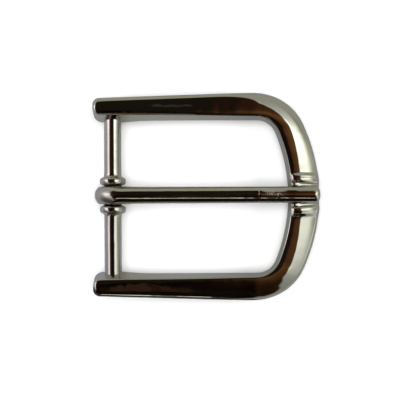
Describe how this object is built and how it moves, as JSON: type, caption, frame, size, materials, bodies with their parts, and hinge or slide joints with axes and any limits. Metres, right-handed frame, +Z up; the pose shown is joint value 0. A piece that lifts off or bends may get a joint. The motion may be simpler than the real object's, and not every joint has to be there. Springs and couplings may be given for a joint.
{
  "type": "prong buckle",
  "caption": "D-shaped prong buckle with thick rounded arms, a crossbar with beads beside the prong, and a swinging prong that rests in a notch on the front.",
  "frame": {"origin": "centre of the buckle's outline seen from above, on the surface that it lies on", "axes": "+X from the crossbar to the front, along the prong; +Y across the strap; +Z up from the surface it lies on, to the side that shows in use"},
  "size_m": [0.0536, 0.049, 0.0087],
  "materials": {
    "frame_nickel": "polished",
    "crossbar_nickel": "polished",
    "prong_nickel": "polished"
  },
  "bodies": {
    "frame_body": {"frame": "frame_nickel", "crossbar": "crossbar_nickel"},
    "prong_body": {"prong": "prong_nickel"}
  },
  "joints": [
    {"name": "prong_hinge", "type": "hinge", "parent": "frame_body", "child": "prong_body", "pos_m": [-0.02235, 0.0004, 0.004], "axis": [0, -1, 0], "range_deg": [0, 175]}
  ]
}
